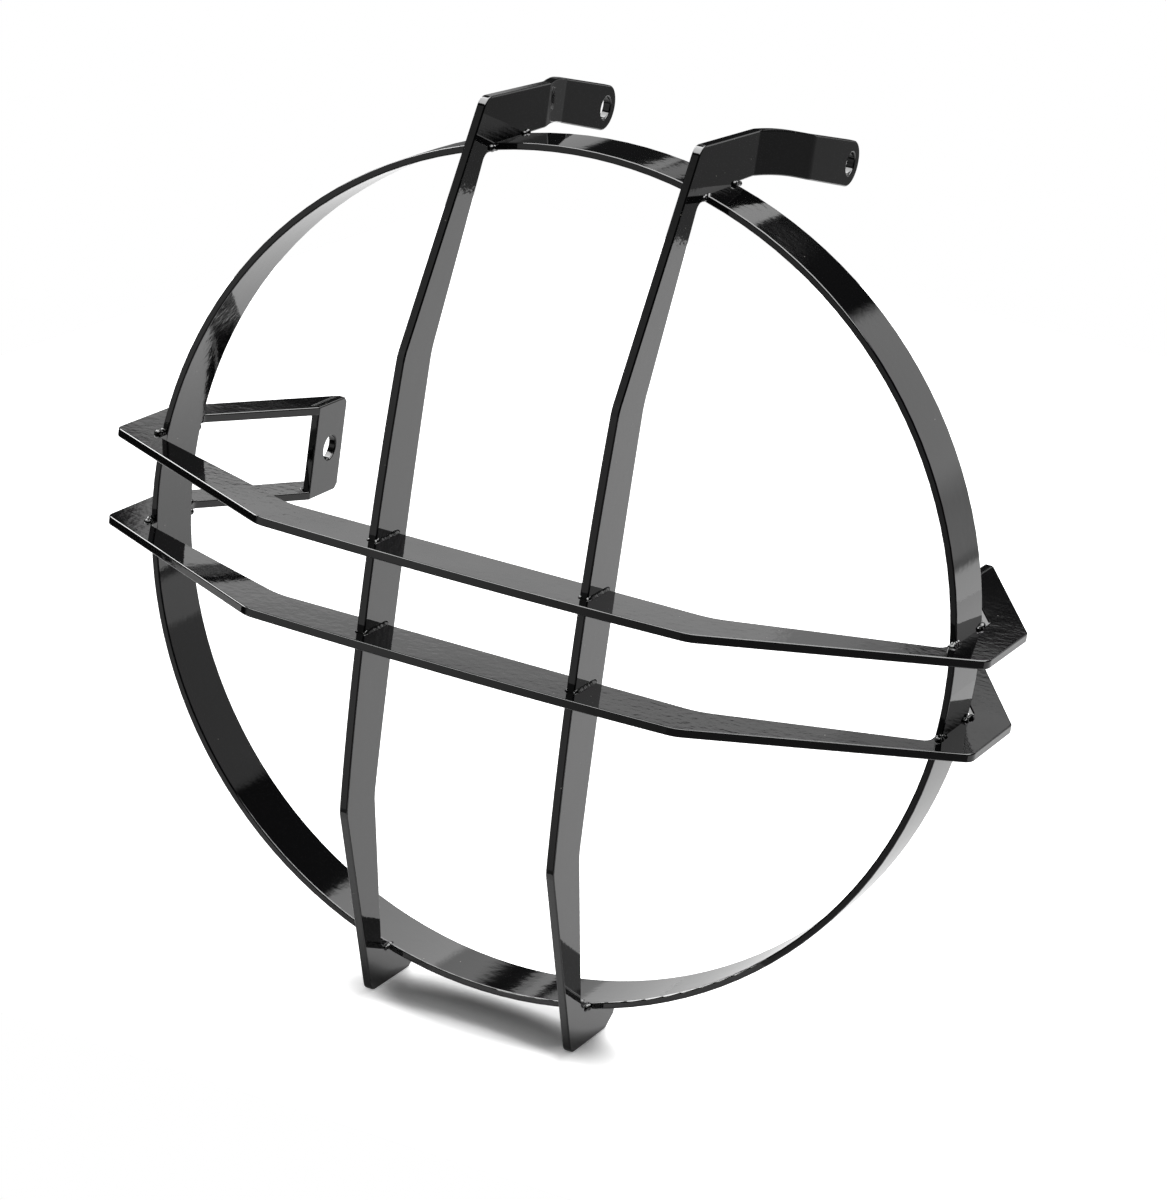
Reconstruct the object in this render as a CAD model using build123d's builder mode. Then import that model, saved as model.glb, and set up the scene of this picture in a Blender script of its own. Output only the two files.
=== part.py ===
from build123d import *
import os
from math import asin, degrees, sqrt

# Steel guard for a round motorcycle headlight. A rolled hoop lies round the lamp's rim. Two
# upright plates and two crossbar plates are half-lapped into a grid in front of the glass and
# welded to the hoop. The uprights run back over the hoop as two joggled arms, and the crossbars
# run back beside it as two pairs of arms, each pair closed by a small bolt plate.
# Frame: +X to the right seen from the front, +Y to the rear, +Z up. The origin is the middle
# of the side bolts' axis. Depths are measured from the plane of the hoop's front edge.

# Hoop, rolled from flat bar
hoop_radius = 122.0
hoop_wall = 2.0
hoop_width = 20.0
bolt_axis_depth = 69.5

# Sheet that the uprights, the crossbars and the bolt plates are cut from
plate = 2.5
edge_round = 0.4
lap_play = 0.1
corner_round = 4.0
root_round = 3.0
front_kink_round = 9.0
rear_kink_round = 18.0

# Uprights
upright_spacing = 63.0
upright_kink_height = 65.4
upright_kink_lead = 39.0
upright_bow = 3.6
upright_corner_lead = 7.8
upright_rear_height = 64.2
upright_rear_lead = 22.4
upright_rear_bow = 1.5
upright_root_lead = 4.9
foot_height = 10.8
foot_nose = (4.4, 3.0)

# Joggled arms at the top of the uprights
arm_rise = 13.9
arm_bend_depth = 32.6
arm_set_depth = 58.0
arm_joggle = 6.7
arm_bend_round = 5.0
arm_droop_depth = 41.0
arm_droop_height = 12.5
arm_droop_round = 110.0
tab_radius = 6.6
tab_hole_depth = 88.8
tab_hole_drop = 3.4
tab_hole_radius = 3.3

# Crossbars
crossbar_spacing = 26.2
crossbar_kink_reach = 64.2
crossbar_kink_lead = 47.4
crossbar_bow = 1.8
crossbar_rear_reach = 63.5
crossbar_rear_lead = 30.2
crossbar_root_lead = 4.2
ear_width = 11.2
ear_corner_lead = 5.8
ear_bend_depth = 25.6

# Bolt plates at the ends of the crossbars' arms
bolt_plate_gap = 203.8
bolt_plate_lead = 9.7
bolt_plate_tail = 7.9
bolt_plate_corner = 1.5
bolt_hole_radius = 3.75
arm_end_inset = 1.2

# Weld beads
lap_bead = 1.3
upright_hoop_bead = 2.4
crossbar_hoop_bead = 2.9
plate_bead = 1.5

# Places that follow from these sizes
hoop_front = -bolt_axis_depth
hoop_rear = hoop_front + hoop_width
upright_x = upright_spacing / 2
crossbar_z = crossbar_spacing / 2
bore_radius = hoop_radius - hoop_wall
hoop_top = sqrt(hoop_radius**2 - upright_x**2)
hoop_top_inside = sqrt(bore_radius**2 - upright_x**2)
hoop_top_middle = (hoop_top + hoop_top_inside) / 2
hoop_side = sqrt(hoop_radius**2 - crossbar_z**2)
hoop_side_inside = sqrt(bore_radius**2 - crossbar_z**2)
upright_lead = upright_kink_lead + upright_bow
lap_lead = (upright_lead + crossbar_rear_lead) / 2
tab_x = upright_x + arm_joggle
tab_hole_z = hoop_top - tab_hole_drop
bolt_plate_x = bolt_plate_gap / 2
bolt_plate_height = crossbar_spacing + plate
crossings = [(x, z) for x in (-upright_x, upright_x) for z in (-crossbar_z, crossbar_z)]

# Each profile is drawn from the hoop's front edge: depth and height, or reach and depth
upright_plane = Plane(origin=(upright_x, hoop_front, 0), x_dir=(0, 1, 0), z_dir=(1, 0, 0))
front_edge_plane = Plane(origin=(0, hoop_front, 0))
axis_plane = Plane(origin=(0, hoop_front, 0), x_dir=(1, 0, 0), z_dir=(0, -1, 0))


def nearest(vertices, *points):
    """Return, for each point, the vertex of a sketch that lies closest to it."""
    return [vertices.sort_by_distance(Vector(*point))[0] for point in points]


def other_side(point):
    """Return the point mirrored across the guard's middle."""
    reach, depth = point
    return -reach, depth


def both_sides(vertices, *points):
    """Return the vertices closest to the points and to their mirror images."""
    return nearest(vertices, *points) + nearest(vertices, *map(other_side, points))


def touch_point(start, centre, radius):
    """Return where the line from start touches a circle, on its left if radius is positive."""
    reach = Vector(*centre) - Vector(*start)
    swing = degrees(asin(radius / reach.length))
    run = sqrt(reach.length**2 - radius**2)
    touch = Vector(*start) + reach.normalized().rotate(Axis.Z, swing) * run
    return touch.X, touch.Y


# Space that the hoop fills, which the plates are trimmed to
with BuildPart() as hoop_disc:
    with BuildSketch(axis_plane):
        Circle(hoop_radius)
    extrude(amount=-hoop_width)

# The hoop with sharp edges, which the beads are trimmed to
with BuildPart() as hoop_blank:
    with BuildSketch(axis_plane):
        Circle(hoop_radius)
        Circle(bore_radius, mode=Mode.SUBTRACT)
    extrude(amount=-hoop_width)

# Hoop: the flat bar's section turned about the lamp's axis
with BuildPart() as hoop:
    with BuildSketch(Plane.XY):
        with Locations((hoop_radius - hoop_wall / 2, hoop_front + hoop_width / 2)):
            RectangleRounded(hoop_wall, hoop_width, edge_round)
    revolve(axis=Axis.Y)

# Right upright: its side outline cut through a joggled sheet
with BuildPart() as right_upright:
    kink = (-upright_kink_lead, upright_kink_height)
    low_kink = (-upright_kink_lead, -upright_kink_height)
    rear_kink = (-upright_rear_lead, upright_rear_height)
    low_rear_kink = (-upright_rear_lead, -upright_rear_height)
    top_corner = (-upright_corner_lead, hoop_top + arm_rise)
    foot_corner = (-upright_corner_lead, -hoop_top - foot_height)
    root = (-upright_root_lead, hoop_top_inside)
    foot_root = (-upright_root_lead, -hoop_top_inside)
    droop_top = (arm_droop_depth, hoop_top + arm_droop_height)
    droop_bottom = (arm_droop_depth, hoop_top)
    tab_centre = (tab_hole_depth, tab_hole_z)
    tab_tip = (tab_hole_depth + tab_radius, tab_hole_z)
    tab_start = touch_point(droop_bottom, tab_centre, -tab_radius)
    tab_end = touch_point(droop_top, tab_centre, tab_radius)
    foot_run, foot_lift = foot_nose
    with BuildSketch(upright_plane) as outline:
        with BuildLine():
            ThreePointArc(kink, (-upright_lead, 0), low_kink)
            Polyline(
                low_kink,
                foot_corner,
                (hoop_width - foot_run, -hoop_top - foot_height),
                (hoop_width, -hoop_top - foot_height + foot_lift),
                (hoop_width, -hoop_top_inside),
                foot_root,
                low_rear_kink,
            )
            ThreePointArc(
                low_rear_kink, (-upright_rear_lead - upright_rear_bow, 0), rear_kink
            )
            Polyline(
                rear_kink,
                root,
                (hoop_width, hoop_top_inside),
                (hoop_width, hoop_top),
                droop_bottom,
                tab_start,
            )
            ThreePointArc(tab_start, tab_tip, tab_end)
            Polyline(tab_end, droop_top, top_corner, kink)
        make_face()
        fillet(nearest(outline.vertices(), kink, low_kink), front_kink_round)
        fillet(nearest(outline.vertices(), rear_kink, low_rear_kink), rear_kink_round)
        fillet(nearest(outline.vertices(), top_corner, foot_corner), corner_round)
        fillet(nearest(outline.vertices(), root, foot_root), root_round)
        fillet(nearest(outline.vertices(), droop_top, droop_bottom), arm_droop_round)
        with Locations(tab_centre):
            Circle(tab_hole_radius, mode=Mode.SUBTRACT)
    extrude(amount=plate + arm_joggle, both=True)
    with BuildSketch(front_edge_plane.offset(-hoop_radius)):
        with BuildLine():
            FilletPolyline(
                (upright_x - plate / 2, -2 * upright_lead),
                (upright_x - plate / 2, arm_bend_depth),
                (tab_x - plate / 2, arm_set_depth),
                (tab_x - plate / 2, 2 * tab_hole_depth),
                radius=arm_bend_round,
            )
            offset(amount=plate, side=Side.RIGHT)
        make_face()
    extrude(amount=2 * hoop_radius + 2 * arm_rise, both=True, mode=Mode.INTERSECT)
    soft_edges = right_upright.edges().filter_by(Axis.X, reverse=True)
    fillet(soft_edges.filter_by(Axis.Z, reverse=True), edge_round)
    with Locations(
        (upright_x, hoop_front - lap_lead, crossbar_z),
        (upright_x, hoop_front - lap_lead, -crossbar_z),
    ):
        Box(
            2 * plate,
            upright_lead,
            plate + lap_play,
            align=(Align.CENTER, Align.MAX, Align.CENTER),
            mode=Mode.SUBTRACT,
        )
    add(hoop_disc.part, mode=Mode.SUBTRACT)

# Left upright: the same blank bent the other way
with BuildPart() as left_upright:
    mirror(right_upright.part, about=Plane.YZ)

# Upper crossbar: one flat plate, cut to the hoop and to the uprights
with BuildPart() as upper_crossbar:
    kink = (crossbar_kink_reach, -crossbar_kink_lead)
    rear_kink = (crossbar_rear_reach, -crossbar_rear_lead)
    ear_corner = (hoop_side + ear_width, -ear_corner_lead)
    ear_bend = (hoop_side + ear_width, ear_bend_depth)
    arm_tail = (bolt_plate_x + plate, bolt_axis_depth + bolt_plate_tail - arm_end_inset)
    arm_seat = (bolt_plate_x + plate, bolt_axis_depth - bolt_plate_lead)
    arm_step = (bolt_plate_x, bolt_axis_depth - bolt_plate_lead)
    arm_root = (hoop_side, ear_bend_depth)
    root = (hoop_side_inside, -crossbar_root_lead)
    with BuildSketch(front_edge_plane.offset(crossbar_z - plate / 2)) as outline:
        with BuildLine():
            Polyline(
                kink,
                ear_corner,
                ear_bend,
                arm_tail,
                arm_seat,
                arm_step,
                arm_root,
                (hoop_side, hoop_width),
                (hoop_side_inside, hoop_width),
                root,
                rear_kink,
            )
            mirror(about=Plane.YZ)
            front_bow = (0, -crossbar_kink_lead - crossbar_bow)
            ThreePointArc(other_side(kink), front_bow, kink)
            Line(other_side(rear_kink), rear_kink)
        make_face()
        fillet(both_sides(outline.vertices(), kink), front_kink_round)
        fillet(both_sides(outline.vertices(), rear_kink), rear_kink_round)
        fillet(both_sides(outline.vertices(), ear_corner, ear_bend), corner_round)
        fillet(both_sides(outline.vertices(), arm_root, root), root_round)
    extrude(amount=plate)
    fillet(upper_crossbar.edges().filter_by(Axis.Z, reverse=True), edge_round)
    with Locations(
        (upright_x, hoop_front - lap_lead, crossbar_z),
        (-upright_x, hoop_front - lap_lead, crossbar_z),
    ):
        Box(
            plate + lap_play,
            upright_lead,
            2 * plate,
            align=(Align.CENTER, Align.MIN, Align.CENTER),
            mode=Mode.SUBTRACT,
        )
    add(hoop_disc.part, mode=Mode.SUBTRACT)

# Lower crossbar: the same blank below the middle
with BuildPart() as lower_crossbar:
    mirror(upper_crossbar.part, about=Plane.XY)

# Right bolt plate: closes the ends of the two arms and takes the side bolt
with BuildPart() as right_bolt_plate:
    with BuildSketch(Plane(origin=(bolt_plate_x, 0, 0), x_dir=(0, 1, 0), z_dir=(1, 0, 0))):
        with Locations(((bolt_plate_tail - bolt_plate_lead) / 2, 0)):
            blank = Rectangle(bolt_plate_lead + bolt_plate_tail, bolt_plate_height)
        tail_corners = blank.vertices().group_by(Axis.X)[-1]
        chamfer(tail_corners, bolt_plate_corner)
        Circle(bolt_hole_radius, mode=Mode.SUBTRACT)
    extrude(amount=plate)
    fillet(right_bolt_plate.edges().filter_by(Axis.X, reverse=True), edge_round)

# Left bolt plate
with BuildPart() as left_bolt_plate:
    mirror(right_bolt_plate.part, about=Plane.YZ)

# Beads in the corners of the half laps, round each upright
with BuildPart() as lap_welds:
    bead_start = hoop_front - upright_lead + lap_bead
    bead_end = hoop_front - crossbar_rear_lead
    for x, z in crossings:
        corners = [(x + i * plate / 2, z + k * plate / 2) for i in (-1, 1) for k in (-1, 1)]
        for bead_x, bead_z in corners:
            with Locations((bead_x, bead_start, bead_z), (bead_x, bead_end, bead_z)):
                Sphere(lap_bead)
            with Locations(Plane((bead_x, bead_start, bead_z), z_dir=(0, 1, 0))):
                Cylinder(
                    lap_bead,
                    bead_end - bead_start,
                    align=(Align.CENTER, Align.CENTER, Align.MIN),
                )
        with Locations((x - plate / 2, bead_end, z), (x + plate / 2, bead_end, z)):
            Cylinder(lap_bead, plate)
        with Locations((x, bead_end, z)):
            Box(plate, 2 * upright_lead, 4 * plate, mode=Mode.SUBTRACT)
            Box(
                4 * plate,
                upright_lead,
                plate,
                align=(Align.CENTER, Align.MAX, Align.CENTER),
                mode=Mode.SUBTRACT,
            )

# Beads where the uprights meet the hoop's edges
with BuildPart() as upright_hoop_welds:
    for x in (-upright_x, upright_x):
        for z in (-hoop_top_middle, hoop_top_middle):
            for y in (hoop_front, hoop_rear):
                with Locations((x - plate / 2, y, z), (x + plate / 2, y, z)):
                    Sphere(upright_hoop_bead)
                with Locations((x, y, z)):
                    Box(plate, 3 * upright_hoop_bead, 3 * upright_hoop_bead, mode=Mode.SUBTRACT)
    add(hoop_blank.part, mode=Mode.SUBTRACT)

# Beads where the crossbars meet the hoop's edges
with BuildPart() as crossbar_hoop_welds:
    for x in (-hoop_side, hoop_side):
        for z in (-crossbar_z, crossbar_z):
            for y in (hoop_front, hoop_rear):
                with Locations((x, y, z - plate / 2), (x, y, z + plate / 2)):
                    Sphere(crossbar_hoop_bead)
                with Locations((x, y, z)):
                    Box(3 * crossbar_hoop_bead, 3 * crossbar_hoop_bead, plate, mode=Mode.SUBTRACT)
    add(hoop_blank.part, mode=Mode.SUBTRACT)

# Beads in the inner corners between the arms and the bolt plates
with BuildPart() as bolt_plate_welds:
    bead_start = -bolt_plate_lead
    bead_end = bolt_plate_tail - bolt_plate_corner - 2 * plate_bead
    for x in (-bolt_plate_x - plate, bolt_plate_x + plate):
        for z in (-crossbar_z + plate / 2, crossbar_z - plate / 2):
            with Locations((x, bead_start, z), (x, bead_end, z)):
                Sphere(plate_bead)
            with Locations(Plane((x, bead_start, z), z_dir=(0, 1, 0))):
                Cylinder(
                    plate_bead,
                    bead_end - bead_start,
                    align=(Align.CENTER, Align.CENTER, Align.MIN),
                )
    for piece in (upper_crossbar, lower_crossbar, left_bolt_plate, right_bolt_plate):
        add(piece.part, mode=Mode.SUBTRACT)

hoop.part.label = "hoop"
right_upright.part.label = "right_upright"
left_upright.part.label = "left_upright"
upper_crossbar.part.label = "upper_crossbar"
lower_crossbar.part.label = "lower_crossbar"
right_bolt_plate.part.label = "right_bolt_plate"
left_bolt_plate.part.label = "left_bolt_plate"
lap_welds.part.label = "lap_welds"
upright_hoop_welds.part.label = "upright_hoop_welds"
crossbar_hoop_welds.part.label = "crossbar_hoop_welds"
bolt_plate_welds.part.label = "bolt_plate_welds"

os.makedirs("parts", exist_ok=True)
export_step(hoop.part, "parts/hoop.step")
export_step(right_upright.part, "parts/right_upright.step")
export_step(left_upright.part, "parts/left_upright.step")
export_step(upper_crossbar.part, "parts/upper_crossbar.step")
export_step(lower_crossbar.part, "parts/lower_crossbar.step")
export_step(right_bolt_plate.part, "parts/right_bolt_plate.step")
export_step(left_bolt_plate.part, "parts/left_bolt_plate.step")
export_step(lap_welds.part, "parts/lap_welds.step")
export_step(upright_hoop_welds.part, "parts/upright_hoop_welds.step")
export_step(crossbar_hoop_welds.part, "parts/crossbar_hoop_welds.step")
export_step(bolt_plate_welds.part, "parts/bolt_plate_welds.step")
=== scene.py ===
"""Studio picture of a welded steel guard for a round motorcycle headlight.

The guard's plates, hoop and bolt plates come from the frame. This script gives them their powder
coat, lays uneven weld beads in their joints, and stands the guard in a white studio.
"""

import logging
import math
import random
from dataclasses import dataclass
from enum import Enum

import bmesh
import bpy
from mathutils import Matrix, Vector


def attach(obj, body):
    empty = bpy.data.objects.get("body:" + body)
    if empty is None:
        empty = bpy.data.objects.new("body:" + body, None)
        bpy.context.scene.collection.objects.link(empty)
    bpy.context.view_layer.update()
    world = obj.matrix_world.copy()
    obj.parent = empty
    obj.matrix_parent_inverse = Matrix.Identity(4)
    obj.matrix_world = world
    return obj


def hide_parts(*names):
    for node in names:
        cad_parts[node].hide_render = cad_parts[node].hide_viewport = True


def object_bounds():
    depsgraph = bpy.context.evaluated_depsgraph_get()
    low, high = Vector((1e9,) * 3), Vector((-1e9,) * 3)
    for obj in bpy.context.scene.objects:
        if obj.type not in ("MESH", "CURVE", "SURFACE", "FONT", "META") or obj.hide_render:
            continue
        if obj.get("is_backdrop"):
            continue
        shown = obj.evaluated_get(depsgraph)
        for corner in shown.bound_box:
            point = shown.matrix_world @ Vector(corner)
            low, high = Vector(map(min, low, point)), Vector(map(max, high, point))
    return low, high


logging.basicConfig(level=logging.INFO, format="%(message)s")
log = logging.getLogger("guard")

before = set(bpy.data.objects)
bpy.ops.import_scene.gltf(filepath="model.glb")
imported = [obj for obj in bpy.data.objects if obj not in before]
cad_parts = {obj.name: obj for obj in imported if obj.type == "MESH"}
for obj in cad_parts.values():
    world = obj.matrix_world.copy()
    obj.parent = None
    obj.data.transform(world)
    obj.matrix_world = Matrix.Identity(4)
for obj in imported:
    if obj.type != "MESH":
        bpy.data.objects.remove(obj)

MM = 0.001
WHITE = "#ffffff"
WHOLE_TURN = (-180.0, 180.0)
STRAIGHT_UP = 90.0
HALF_METRE = 0.5

# A hex colour has two digits for each of red, green and blue, which start at these places.
HEX_STARTS = (1, 3, 5)
HEX_BASE = 16
HEX_TOP = 255

# The sRGB curve has a short straight start and then follows a power.
SRGB_START_END = 0.04045
SRGB_START_SLOPE = 12.92
SRGB_OFFSET = 0.055
SRGB_POWER = 2.4

# Some nodes give several sockets the same name, so those sockets are picked by their number.
FIRST = 0
SECOND = 1
MIX_NUMBER_A = 2
MIX_NUMBER_B = 3
MIX_NUMBER_OUT = 0
MIX_COLOUR_A = 6
MIX_COLOUR_B = 7
MIX_COLOUR_OUT = 2

# Points of a plain bead that are closer than this are one point.
MERGE_REACH = 0.001 * MM
# The beads are put in order by their corners, rounded to this many decimals of a metre.
ORDER_DECIMALS = 5


class Joint(Enum):
    """Kinds of weld on the guard, each valued as the frame names its plain beads."""

    LAP = "lap_welds"
    UPRIGHT_TO_HOOP = "upright_hoop_welds"
    CROSSBAR_TO_HOOP = "crossbar_hoop_welds"
    BOLT_PLATE = "bolt_plate_welds"


def linear(hex_colour: str) -> tuple[float, float, float, float]:
    """Turn an sRGB hex colour into the linear colour that a shader takes.

    Args:
        hex_colour: six hex digits after a hash sign.

    Returns:
        Linear red, green, blue and an alpha of 1.
    """
    levels = [int(hex_colour[i : i + 2], HEX_BASE) / HEX_TOP for i in HEX_STARTS]
    red, green, blue = (
        level / SRGB_START_SLOPE
        if level <= SRGB_START_END
        else ((level + SRGB_OFFSET) / (1 + SRGB_OFFSET)) ** SRGB_POWER
        for level in levels
    )
    return (red, green, blue, 1.0)


def blank_tree(owner: bpy.types.Material | bpy.types.World) -> bpy.types.NodeTree:
    """Turn on the nodes of a material or a world and clear them.

    Args:
        owner: the material or the world.

    Returns:
        Its empty node tree.
    """
    owner.use_nodes = True
    owner.node_tree.nodes.clear()
    return owner.node_tree


def add_node(
    tree: bpy.types.NodeTree,
    kind: str,
    settings: dict[str, object] | None = None,
    inputs: dict[str | int, object] | None = None,
) -> bpy.types.Node:
    """Add a node, set it up and link it.

    Args:
        tree: the node tree that takes it.
        kind: the node's type name.
        settings: attributes of the node itself.
        inputs: input sockets by name or number, each a value or an output socket to link from.

    Returns:
        The new node.
    """
    node = tree.nodes.new(kind)
    for name, value in (settings or {}).items():
        setattr(node, name, value)
    for name, value in (inputs or {}).items():
        if isinstance(value, bpy.types.NodeSocket):
            tree.links.new(value, node.inputs[name])
        else:
            node.inputs[name].default_value = value
    return node


def add_object(name: str, data: bpy.types.ID) -> bpy.types.Object:
    """Put a mesh, lamp or camera into the scene.

    Args:
        name: the new object's name.
        data: what the object shows.

    Returns:
        The new object, at the origin.
    """
    thing = bpy.data.objects.new(name, data)
    bpy.context.scene.collection.objects.link(thing)
    return thing


@dataclass(frozen=True)
class PowderCoat:
    """Gloss black polyester powder, sprayed on dry and baked to a level film on the steel.

    To the eye it is a deep black that mirrors the room sharply. Its faint orange peel makes the
    edges of each reflection waver, and dust that settled in the booth shows as pale specks.
    """

    name: str = "gloss_black_powder_coat"
    colour: str = "#0b0b0c"
    dust_colour: str = "#8c8a84"
    index: float = 1.52
    roughness: float = 0.042
    # Slow smears change the roughness between two shares of its value.
    smear_size: float = 25.0 * MM
    smear_levels: tuple[float, float] = (0.35, 0.75)
    smear_shares: tuple[float, float] = (0.8, 1.5)
    peel_size: float = 2.4 * MM
    peel_height: float = 0.012 * MM
    peel_detail: float = 2.0
    ripple_size: float = 14.0 * MM
    ripple_height: float = 0.018 * MM
    ripple_detail: float = 1.0
    speck_spacing: float = 4.0 * MM
    speck_share: float = 0.3
    # A speck is solid out to its core and gone at its edge, both as shares of the spacing.
    speck_core: float = 0.03
    speck_edge: float = 0.06

    def material(self) -> bpy.types.Material:
        """Build the material.

        Returns:
            The finished node material.
        """
        material = bpy.data.materials.new(self.name)
        tree = blank_tree(material)
        place = add_node(tree, "ShaderNodeTexCoord").outputs["Object"]
        film = add_node(
            tree,
            "ShaderNodeMix",
            {"data_type": "RGBA"},
            {
                "Factor": self.specks(tree, place),
                MIX_COLOUR_A: linear(self.colour),
                MIX_COLOUR_B: linear(self.dust_colour),
            },
        )
        shader = add_node(
            tree,
            "ShaderNodeBsdfPrincipled",
            {},
            {
                "Base Color": film.outputs[MIX_COLOUR_OUT],
                "Roughness": self.smears(tree, place),
                "IOR": self.index,
                "Normal": self.peel(tree, place),
            },
        )
        add_node(tree, "ShaderNodeOutputMaterial", {}, {"Surface": shader.outputs["BSDF"]})
        return material

    def specks(
        self, tree: bpy.types.NodeTree, place: bpy.types.NodeSocket
    ) -> bpy.types.NodeSocket:
        """Scatter dust specks, about a third of a millimetre across, over the film.

        Args:
            tree: the material's node tree.
            place: the object coordinates.

        Returns:
            A mask that is 1 on a speck.
        """
        cells = add_node(
            tree, "ShaderNodeTexVoronoi", {}, {"Vector": place, "Scale": 1 / self.speck_spacing}
        )
        near = add_node(
            tree,
            "ShaderNodeMapRange",
            {},
            {
                "Value": cells.outputs["Distance"],
                "From Min": self.speck_core,
                "From Max": self.speck_edge,
                "To Min": 1.0,
                "To Max": 0.0,
            },
        )
        lot = add_node(
            tree, "ShaderNodeSeparateColor", {}, {"Color": cells.outputs["Color"]}
        )
        chosen = add_node(
            tree,
            "ShaderNodeMath",
            {"operation": "LESS_THAN"},
            {FIRST: lot.outputs["Red"], SECOND: self.speck_share},
        )
        mask = add_node(
            tree,
            "ShaderNodeMath",
            {"operation": "MULTIPLY"},
            {FIRST: near.outputs["Result"], SECOND: chosen.outputs["Value"]},
        )
        return mask.outputs["Value"]

    def smears(
        self, tree: bpy.types.NodeTree, place: bpy.types.NodeSocket
    ) -> bpy.types.NodeSocket:
        """Vary the roughness slowly, as handling leaves it.

        Args:
            tree: the material's node tree.
            place: the object coordinates.

        Returns:
            The roughness.
        """
        cloud = add_node(
            tree, "ShaderNodeTexNoise", {}, {"Vector": place, "Scale": 1 / self.smear_size}
        )
        low, high = self.smear_levels
        smooth, dull = self.smear_shares
        rough = add_node(
            tree,
            "ShaderNodeMapRange",
            {},
            {
                "Value": cloud.outputs["Fac"],
                "From Min": low,
                "From Max": high,
                "To Min": self.roughness * smooth,
                "To Max": self.roughness * dull,
            },
        )
        return rough.outputs["Result"]

    def peel(
        self, tree: bpy.types.NodeTree, place: bpy.types.NodeSocket
    ) -> bpy.types.NodeSocket:
        """Give the film its orange peel and the slow waves of the sheet below it.

        Args:
            tree: the material's node tree.
            place: the object coordinates.

        Returns:
            The bumped normal.
        """
        normal = None
        for size, height, detail in (
            (self.ripple_size, self.ripple_height, self.ripple_detail),
            (self.peel_size, self.peel_height, self.peel_detail),
        ):
            relief = add_node(
                tree,
                "ShaderNodeTexNoise",
                {},
                {"Vector": place, "Scale": 1 / size, "Detail": detail},
            )
            bump = add_node(
                tree,
                "ShaderNodeBump",
                {},
                {"Strength": 1.0, "Distance": height, "Height": relief.outputs["Fac"]},
            )
            if normal is not None:
                tree.links.new(normal, bump.inputs["Normal"])
            normal = bump.outputs["Normal"]
        return normal


@dataclass(frozen=True)
class TablePaper:
    """Matt white paper, rolled out over the table.

    To the eye it is an even white, with a soft grey shadow only between and just before the
    guard's feet. Further out the paper glows a little for the camera, which lifts the rest of
    the shadow to white, as in the photograph.
    """

    name: str = "matt_white_paper"
    colour: str = "#f9f9f9"
    # Diffuse roughness stays 0, because a rough paper turns dark under light from behind.
    roughness: float = 0.0
    lift: float = 0.9
    shadow_middle: tuple[float, float, float] = (0.002, -0.067, 0.0)
    shadow_reach: tuple[float, float] = (0.040, 0.023)
    # The lift starts and is full at these shares of the shadow's reach.
    lift_start: float = 0.66
    lift_full: float = 1.25

    def material(self) -> bpy.types.Material:
        """Build the material.

        Returns:
            The finished node material.
        """
        material = bpy.data.materials.new(self.name)
        tree = blank_tree(material)
        seen = add_node(tree, "ShaderNodeLightPath").outputs["Is Camera Ray"]
        lift = add_node(
            tree,
            "ShaderNodeMath",
            {"operation": "MULTIPLY"},
            {FIRST: self.outside_shadow(tree), SECOND: seen},
        )
        paper = add_node(
            tree,
            "ShaderNodeBsdfDiffuse",
            {},
            {"Color": linear(self.colour), "Roughness": self.roughness},
        )
        glow = add_node(
            tree,
            "ShaderNodeEmission",
            {},
            {"Color": linear(WHITE), "Strength": lift.outputs["Value"]},
        )
        both = add_node(
            tree,
            "ShaderNodeAddShader",
            {},
            {FIRST: paper.outputs["BSDF"], SECOND: glow.outputs["Emission"]},
        )
        add_node(tree, "ShaderNodeOutputMaterial", {}, {"Surface": both.outputs["Shader"]})
        return material

    def outside_shadow(self, tree: bpy.types.NodeTree) -> bpy.types.NodeSocket:
        """Work out how much the paper is lifted, from its distance to the shadow's middle.

        Args:
            tree: the material's node tree.

        Returns:
            The lift, which is 0 round the feet and full further out.
        """
        place = add_node(tree, "ShaderNodeTexCoord").outputs["Object"]
        offset = add_node(
            tree,
            "ShaderNodeVectorMath",
            {"operation": "SUBTRACT"},
            {FIRST: place, SECOND: self.shadow_middle},
        )
        across, along = self.shadow_reach
        share = add_node(
            tree,
            "ShaderNodeVectorMath",
            {"operation": "MULTIPLY"},
            {FIRST: offset.outputs["Vector"], SECOND: (1 / across, 1 / along, 0.0)},
        )
        away = add_node(
            tree,
            "ShaderNodeVectorMath",
            {"operation": "LENGTH"},
            {FIRST: share.outputs["Vector"]},
        )
        lift = add_node(
            tree,
            "ShaderNodeMapRange",
            {"interpolation_type": "SMOOTHSTEP"},
            {
                "Value": away.outputs["Value"],
                "From Min": self.lift_start,
                "From Max": self.lift_full,
                "To Min": 0.0,
                "To Max": self.lift,
            },
        )
        return lift.outputs["Result"]


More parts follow.
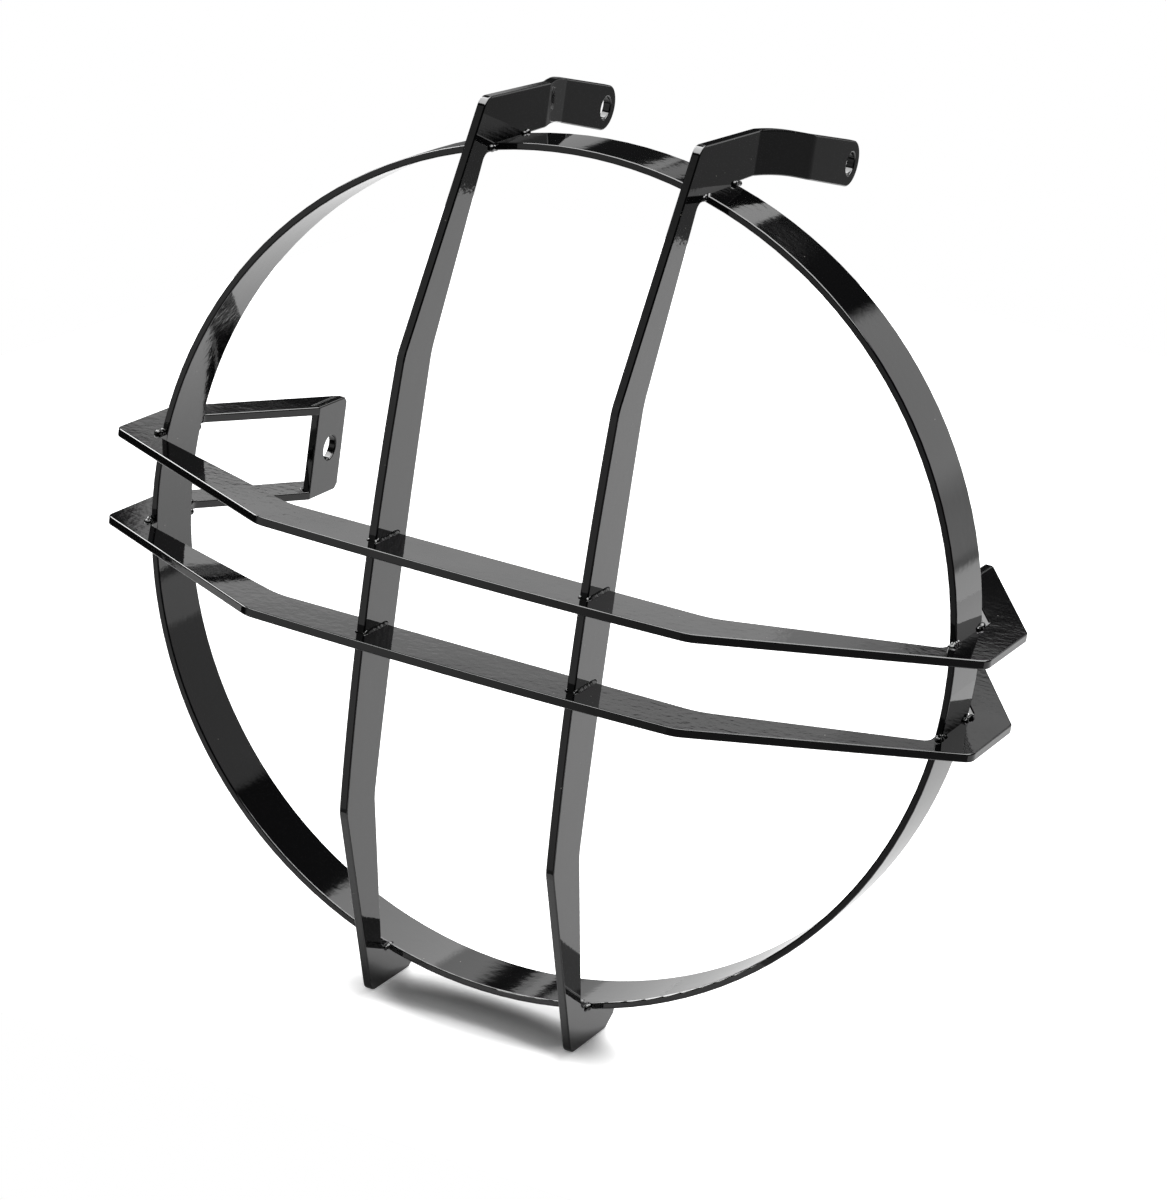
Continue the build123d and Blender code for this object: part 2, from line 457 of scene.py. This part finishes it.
@dataclass
class WeldBead:
    """Short runs of weld metal in one kind of joint.

    Each run goes along the guard's depth. It is a row of small lumps, as the welder's hand leaves
    them, melted into one skin. Stretch is a lump's length along the run and flatness its height
    out of the corner, both as shares of its radius. Unevenness is the share by which a lump may
    be smaller, and wander is how far it may stray.
    """

    joint: Joint
    coat: bpy.types.Material
    lump_radius: float
    run_length: float
    lumps: int
    flatness: float = 1.0
    stretch: float = 1.0
    unevenness: float = 0.3
    wander: float = 0.3 * MM
    both_faces: bool = False
    skin: float = 0.2 * MM
    roundness: int = 2
    smoothing: float = 0.5
    smoothing_rounds: int = 5

    def lay(self) -> None:
        """Lay every run of this joint and put them in the place of the frame's plain beads."""
        hand = random.Random(self.joint.value)
        corners = self.corners()
        metal = bmesh.new()
        for corner, outward in corners:
            self.add_run(metal, corner, outward, hand)
        name = self.joint.value + "_lumpy"
        mesh = bpy.data.meshes.new(name)
        metal.to_mesh(mesh)
        metal.free()
        mesh.materials.append(self.coat)
        piece = add_object(name, mesh)
        self.melt(piece)
        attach(piece, "root")
        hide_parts(self.joint.value)
        log.info("%s: %d runs of %d lumps", piece.name, len(corners), self.lumps)

    def melt(self, piece: bpy.types.Object) -> None:
        """Melt the lumps of a piece into one smooth skin.

        Args:
            piece: the piece that holds the lumps.
        """
        skin = piece.modifiers.new("melt", "REMESH")
        skin.mode = "VOXEL"
        skin.voxel_size = self.skin
        skin.use_smooth_shade = True
        flow = piece.modifiers.new("flow", "SMOOTH")
        flow.factor = self.smoothing
        flow.iterations = self.smoothing_rounds

    def add_run(
        self, metal: bmesh.types.BMesh, corner: Vector, outward: Vector, hand: random.Random
    ) -> None:
        """Add one run of lumps along the guard's depth.

        Args:
            metal: the mesh that takes the lumps.
            corner: the middle of the run, in the corner between the two pieces.
            outward: the way out of the corner.
            hand: the welder's unsteady hand.
        """
        facing = outward.to_track_quat("Z", "Y").to_matrix().to_4x4()
        squash = Matrix.Diagonal((self.stretch, 1.0, self.flatness, 1.0))
        for step in range(self.lumps):
            share = step / max(self.lumps - 1, 1) - 0.5
            stray = Vector([hand.uniform(-1.0, 1.0) * self.wander for _ in range(3)])
            place = corner + Vector((0.0, share * self.run_length, 0.0)) + stray
            radius = self.lump_radius * hand.uniform(1.0 - self.unevenness, 1.0)
            shape = Matrix.Translation(place) @ facing @ squash
            bmesh.ops.create_icosphere(
                metal, subdivisions=self.roundness, radius=radius, matrix=shape
            )

    def corners(self) -> list[tuple[Vector, Vector]]:
        """Find the corner that each of the frame's plain beads fills.

        A lap's plain bead runs along both faces of the crossbar, so it fills two corners.

        Returns:
            Each corner, in metres, with the way out of it.
        """
        plain = bmesh.new()
        plain.from_mesh(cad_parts[self.joint.value].data)
        bmesh.ops.remove_doubles(plain, verts=plain.verts, dist=MERGE_REACH)
        sides = (1, -1) if self.both_faces else (0,)
        found = []
        for low, high in loose_boxes(plain):
            middle = (low + high) / 2
            lift = (high.z - low.z) / 2 - self.lump_radius / 2
            for side in sides:
                inside = middle + Vector((0.0, 0.0, side * lift))
                corner = corner_near(inside)
                found.append((corner, (inside - corner).normalized()))
        plain.free()
        return found


def loose_boxes(plain: bmesh.types.BMesh) -> list[tuple[Vector, Vector]]:
    """Find the box of each loose part of a mesh.

    Args:
        plain: the mesh, with its doubled points merged.

    Returns:
        The low and high corners of each part's box.
    """
    boxes = []
    waiting = set(plain.verts)
    while waiting:
        part, rim = set(), {waiting.pop()}
        while rim:
            part |= rim
            rim = {edge.other_vert(point) for point in rim for edge in point.link_edges} - part
        waiting -= part
        low = Vector([min(point.co[axis] for point in part) for axis in range(3)])
        high = Vector([max(point.co[axis] for point in part) for axis in range(3)])
        boxes.append((low, high))
    return sorted(boxes, key=lambda box: tuple(round(c, ORDER_DECIMALS) for c in box[0]))


def corner_near(place: Vector) -> Vector:
    """Find the corner between the two pieces of the guard that are nearest to a point.

    Args:
        place: a point inside a bead, in metres.

    Returns:
        The point where the two pieces' faces meet.
    """
    welds = {joint.value for joint in Joint}
    touches = []
    for name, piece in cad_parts.items():
        if name not in welds:
            _, spot, _, _ = piece.closest_point_on_mesh(place)
            touches.append(spot - place)
    nearest, second = sorted(touches, key=lambda offset: offset.length)[:2]
    return place + nearest + second


@dataclass
class Guard:
    """The guard itself: coats every piece of the frame and lays the weld beads."""

    plate_coat: PowderCoat = PowderCoat()
    # Over the rough beads the coat is duller, with a finer and deeper peel.
    bead_coat: PowderCoat = PowderCoat(
        name="gloss_black_coat_on_welds",
        roughness=0.14,
        peel_height=0.016 * MM,
        peel_size=1.4 * MM,
    )

    def dress(self) -> None:
        """Give each piece of the frame its coat, then lay the beads."""
        plate_paint = self.plate_coat.material()
        bead_paint = self.bead_coat.material()
        welds = {joint.value for joint in Joint}
        for name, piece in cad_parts.items():
            paint = bead_paint if name in welds else plate_paint
            for slot in piece.material_slots:
                slot.material = paint
            log.info("%s coated in %s", name, paint.name)
        for bead in self.beads(bead_paint):
            bead.lay()

    def beads(self, paint: bpy.types.Material) -> tuple[WeldBead, ...]:
        """Say how the welder laid each kind of joint.

        Args:
            paint: the coat on the beads.

        Returns:
            The beads, in the order in which they are laid.
        """
        return (
            WeldBead(
                Joint.LAP,
                paint,
                lump_radius=1.4 * MM,
                run_length=8.6 * MM,
                lumps=11,
                flatness=0.5,
                stretch=2.2,
                unevenness=0.05,
                wander=0.04 * MM,
                both_faces=True,
                skin=0.18 * MM,
            ),
            WeldBead(
                Joint.UPRIGHT_TO_HOOP,
                paint,
                lump_radius=1.15 * MM,
                run_length=3.2 * MM,
                lumps=5,
                unevenness=0.4,
            ),
            WeldBead(
                Joint.CROSSBAR_TO_HOOP,
                paint,
                lump_radius=1.3 * MM,
                run_length=4.6 * MM,
                lumps=7,
                unevenness=0.4,
            ),
            WeldBead(
                Joint.BOLT_PLATE,
                paint,
                lump_radius=1.2 * MM,
                run_length=12.6 * MM,
                lumps=14,
                flatness=0.6,
                stretch=1.3,
                unevenness=0.12,
                wander=0.1 * MM,
            ),
        )


@dataclass(frozen=True)
class Card:
    """A lit wall, soft box or dark flag of the studio, as the gloss coat mirrors it.

    Angles are in degrees as seen from the guard: turn from straight behind it towards +X, and
    rise above the table. Blur is half the width of its soft edge. A glow of 1 is white.
    """

    name: str
    turn: tuple[float, float]
    rise: tuple[float, float]
    glow: float
    blur: float

    def paint(
        self,
        tree: bpy.types.NodeTree,
        turn: bpy.types.NodeSocket,
        rise: bpy.types.NodeSocket,
        below: bpy.types.NodeSocket | float,
    ) -> bpy.types.NodeSocket:
        """Paint the card over what is already there.

        Args:
            tree: the world's node tree.
            turn: the mirrored ray's turn, in degrees.
            rise: the mirrored ray's rise, in degrees.
            below: the glow that the card covers.

        Returns:
            The glow with this card on it.
        """
        across = self.inside(tree, turn, self.turn)
        up = self.inside(tree, rise, self.rise)
        mask = add_node(
            tree,
            "ShaderNodeMath",
            {"operation": "MULTIPLY", "label": self.name},
            {FIRST: across, SECOND: up},
        )
        layer = add_node(
            tree,
            "ShaderNodeMix",
            {"data_type": "FLOAT"},
            {"Factor": mask.outputs["Value"], MIX_NUMBER_A: below, MIX_NUMBER_B: self.glow},
        )
        return layer.outputs[MIX_NUMBER_OUT]

    def inside(
        self, tree: bpy.types.NodeTree, angle: bpy.types.NodeSocket, span: tuple[float, float]
    ) -> bpy.types.NodeSocket:
        """Mask the part of an angle that lies in a span, with soft ends.

        Args:
            tree: the world's node tree.
            angle: the angle, in degrees.
            span: the span's two ends.

        Returns:
            A mask that is 1 inside the span.
        """
        low, high = span
        offset = add_node(
            tree,
            "ShaderNodeMath",
            {"operation": "SUBTRACT"},
            {FIRST: angle, SECOND: (low + high) / 2},
        )
        away = add_node(
            tree, "ShaderNodeMath", {"operation": "ABSOLUTE"}, {FIRST: offset.outputs["Value"]}
        )
        half = (high - low) / 2
        ramp = add_node(
            tree,
            "ShaderNodeMapRange",
            {"interpolation_type": "SMOOTHSTEP"},
            {
                "Value": away.outputs["Value"],
                "From Min": half - self.blur,
                "From Max": half + self.blur,
                "To Min": 1.0,
                "To Max": 0.0,
            },
        )
        return ramp.outputs["Result"]


@dataclass(frozen=True)
class Room:
    """The room round the table, which lights the guard evenly and shows in its coat.

    The camera sees plain white. Other rays meet an even dome of light, and the coat mirrors a
    dark room with its walls, boxes and windows. A later card covers an earlier one.
    """

    dome_glow: float = 0.32
    dark_glow: float = 0.015
    camera_glow: float = 1.0
    cards: tuple[Card, ...] = (
        # The dark floor beyond the table.
        Card("dark_floor", turn=WHOLE_TURN, rise=(-91.0, -1.0), glow=0.15, blur=1.0),
        Card("dark_left_floor", turn=(-130.0, -50.0), rise=(-60.0, 4.0), glow=0.02, blur=4.0),
        # The wall to the right, and the light on the floor before it.
        Card("far_right_wall", turn=(23.0, 35.0), rise=(2.7, 25.0), glow=0.33, blur=0.6),
        Card("far_right_foot", turn=(23.0, 35.0), rise=(-4.0, 2.7), glow=0.7, blur=0.6),
        Card("right_wall", turn=(10.6, 24.6), rise=(-4.0, 21.2), glow=1.0, blur=0.9),
        Card("right_wall_foot", turn=(10.6, 24.6), rise=(-6.0, 4.0), glow=0.55, blur=2.5),
        Card("right_floor_glare", turn=(20.0, 26.5), rise=(-10.4, -5.5), glow=1.4, blur=0.6),
        # The wall to the left.
        Card("left_wall", turn=(-40.0, -28.1), rise=(-12.0, 11.0), glow=1.22, blur=0.5),
        Card("left_wall_top", turn=(-40.0, -27.9), rise=(10.5, 16.6), glow=0.72, blur=0.4),
        Card("left_strip", turn=(-26.8, -23.8), rise=(-4.0, 10.4), glow=0.56, blur=0.4),
        # The lit strip high on the wall behind.
        Card("back_strip", turn=(-28.5, -17.9), rise=(16.8, 19.7), glow=0.72, blur=0.25),
        Card("back_strip_end", turn=(-18.6, -12.5), rise=(17.95, 19.7), glow=0.55, blur=0.2),
        Card("back_strip_glare", turn=(-28.0, -19.6), rise=(16.75, 18.5), glow=1.02, blur=0.2),
        # The soft boxes behind and above.
        Card("soft_box_side", turn=(-24.0, -13.0), rise=(23.6, 48.0), glow=1.0, blur=1.2),
        Card("soft_box", turn=(-17.0, 3.2), rise=(25.1, 48.0), glow=1.95, blur=0.7),
        Card("soft_box_foot", turn=(-8.6, -5.2), rise=(22.6, 25.0), glow=1.3, blur=0.3),
        Card("overhead_box", turn=WHOLE_TURN, rise=(50.0, 91.0), glow=10.0, blur=3.0),
        # The window at the left, and the wall beside the camera.
        Card("left_window", turn=(-100.0, -46.0), rise=(24.0, 44.0), glow=13.0, blur=2.0),
        Card("front_left_wall", turn=(-160.5, -120.0), rise=(-34.0, 34.0), glow=0.64, blur=8.0),
    )

    def surround(self) -> None:
        """Make the room the scene's world."""
        world = bpy.data.worlds.new("studio")
        bpy.context.scene.world = world
        tree = blank_tree(world)
        rays = add_node(tree, "ShaderNodeLightPath")
        mirrored = add_node(
            tree,
            "ShaderNodeMix",
            {"data_type": "FLOAT"},
            {
                "Factor": rays.outputs["Is Glossy Ray"],
                MIX_NUMBER_A: self.dome_glow,
                MIX_NUMBER_B: self.mirrored_glow(tree),
            },
        )
        strength = add_node(
            tree,
            "ShaderNodeMix",
            {"data_type": "FLOAT"},
            {
                "Factor": rays.outputs["Is Camera Ray"],
                MIX_NUMBER_A: mirrored.outputs[MIX_NUMBER_OUT],
                MIX_NUMBER_B: self.camera_glow,
            },
        )
        light = add_node(
            tree,
            "ShaderNodeBackground",
            {},
            {"Color": linear(WHITE), "Strength": strength.outputs[MIX_NUMBER_OUT]},
        )
        add_node(tree, "ShaderNodeOutputWorld", {}, {"Surface": light.outputs["Background"]})

    def mirrored_glow(self, tree: bpy.types.NodeTree) -> bpy.types.NodeSocket:
        """Paint the dark room and its cards.

        Args:
            tree: the world's node tree.

        Returns:
            The glow that a mirrored ray meets.
        """
        way = add_node(tree, "ShaderNodeTexCoord").outputs["Generated"]
        parts = add_node(tree, "ShaderNodeSeparateXYZ", {}, {"Vector": way}).outputs
        turn = self.degrees(tree, "ARCTAN2", {FIRST: parts["X"], SECOND: parts["Y"]})
        rise = self.degrees(tree, "ARCSINE", {FIRST: parts["Z"]})
        glow = self.dark_glow
        for card in self.cards:
            glow = card.paint(tree, turn, rise, glow)
        return glow

    def degrees(
        self, tree: bpy.types.NodeTree, operation: str, inputs: dict[str | int, object]
    ) -> bpy.types.NodeSocket:
        """Work out an angle of the world's rays in degrees.

        Args:
            tree: the world's node tree.
            operation: the angle's function.
            inputs: what the function takes.

        Returns:
            The angle.
        """
        angle = add_node(tree, "ShaderNodeMath", {"operation": operation}, inputs)
        turned = add_node(
            tree, "ShaderNodeMath", {"operation": "DEGREES"}, {FIRST: angle.outputs["Value"]}
        )
        return turned.outputs["Value"]


@dataclass(frozen=True)
class Table:
    """The white table, which ends behind the guard as the real one does."""

    sides: tuple[float, float] = (-0.45, 0.62)
    depth: tuple[float, float] = (-0.16, 0.848)
    paper: TablePaper = TablePaper()

    def lay(self, height: float) -> None:
        """Lay the table under the guard.

        Args:
            height: where its top is, in metres.
        """
        left, right = self.sides
        near, far = self.depth
        sheet = bmesh.new()
        bmesh.ops.create_grid(sheet, x_segments=1, y_segments=1, size=HALF_METRE)
        bmesh.ops.scale(sheet, vec=(right - left, far - near, 1.0), verts=sheet.verts)
        middle = Vector(((left + right) / 2, (near + far) / 2, height))
        bmesh.ops.translate(sheet, vec=middle, verts=sheet.verts)
        mesh = bpy.data.meshes.new("table")
        sheet.to_mesh(mesh)
        sheet.free()
        mesh.materials.append(self.paper.material())
        add_object("table", mesh)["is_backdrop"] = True
        log.info("table laid at %.4f m", height)


@dataclass(frozen=True)
class TableLamp:
    """The square lamp that brightens the table's far half, which the coat mirrors."""

    place: tuple[float, float, float] = (0.25, 0.62, 0.75)
    side: float = 0.35
    watts: float = 2.2

    def hang(self) -> None:
        """Hang the lamp, out of the camera's sight."""
        lamp = bpy.data.lights.new("table_lamp", "AREA")
        lamp.shape = "SQUARE"
        lamp.size = self.side
        lamp.energy = self.watts
        holder = add_object("table_lamp", lamp)
        holder.matrix_world = Matrix.Translation(Vector(self.place))
        holder.visible_camera = False


@dataclass(frozen=True)
class KeyLight:
    """The main light, from behind and above, so the shadow falls just before the guard.

    Its turn and rise are in degrees, as a card's are, and so is the width that it fills.
    """

    turn: float = -7.0
    rise: float = 37.0
    width: float = 26.0
    strength: float = 3.68

    def aim(self) -> None:
        """Aim the light, and keep it out of the coat, which mirrors the soft boxes instead."""
        key = bpy.data.lights.new("key", "SUN")
        key.angle = math.radians(self.width)
        key.energy = self.strength
        holder = add_object("key", key)
        turn = Matrix.Rotation(-math.radians(self.turn), 4, "Z")
        tilt = Matrix.Rotation(-math.radians(STRAIGHT_UP - self.rise), 4, "X")
        holder.matrix_world = turn @ tilt
        holder.visible_glossy = False


@dataclass(frozen=True)
class PhotoCamera:
    """The camera that took the photograph, as the edges in the photograph give it.

    The place is in metres. The focal length, the image's height and the offset of its centre, to
    the right and down, are in pixels of the photograph, and the sensor is in millimetres.
    """

    place: tuple[float, float, float] = (0.4516, -1.1341, 0.3727)
    right: tuple[float, float, float] = (0.9013, 0.4115, 0.1350)
    up: tuple[float, float, float] = (-0.2413, 0.2183, 0.9456)
    image_height: float = 1200.0
    focal_pixels: float = 4424.5
    centre_offset: tuple[float, float] = (24.4, -55.8)
    sensor: float = 36.0

    def set_up(self) -> None:
        """Put the camera in its place and give it the scene."""
        camera = bpy.data.cameras.new("camera")
        camera.sensor_fit = "VERTICAL"
        camera.sensor_height = self.sensor
        camera.lens = self.focal_pixels / self.image_height * self.sensor
        right_offset, down_offset = self.centre_offset
        camera.shift_x = -right_offset / self.image_height
        camera.shift_y = down_offset / self.image_height
        right = Vector(self.right).normalized()
        back = right.cross(Vector(self.up)).normalized()
        turn = Matrix((right, back.cross(right), back)).transposed().to_4x4()
        holder = add_object("camera", camera)
        holder.matrix_world = Matrix.Translation(Vector(self.place)) @ turn
        bpy.context.scene.camera = holder


@dataclass(frozen=True)
class Studio:
    """The room, table, lamps and camera of the photograph."""

    room: Room = Room()
    table: Table = Table()
    table_lamp: TableLamp = TableLamp()
    key: KeyLight = KeyLight()
    camera: PhotoCamera = PhotoCamera()

    def build(self) -> None:
        """Put up the whole studio round the guard, with the table at its feet."""
        bpy.context.scene.view_settings.view_transform = "Standard"
        self.room.surround()
        lowest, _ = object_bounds()
        self.table.lay(lowest.z)
        self.table_lamp.hang()
        self.key.aim()
        self.camera.set_up()
        log.info("studio ready, with %d cards in the room", len(self.room.cards))


def main() -> None:
    """Dress the guard and put up the studio."""
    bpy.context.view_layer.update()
    Guard().dress()
    Studio().build()


if __name__ == "__main__":
    main()
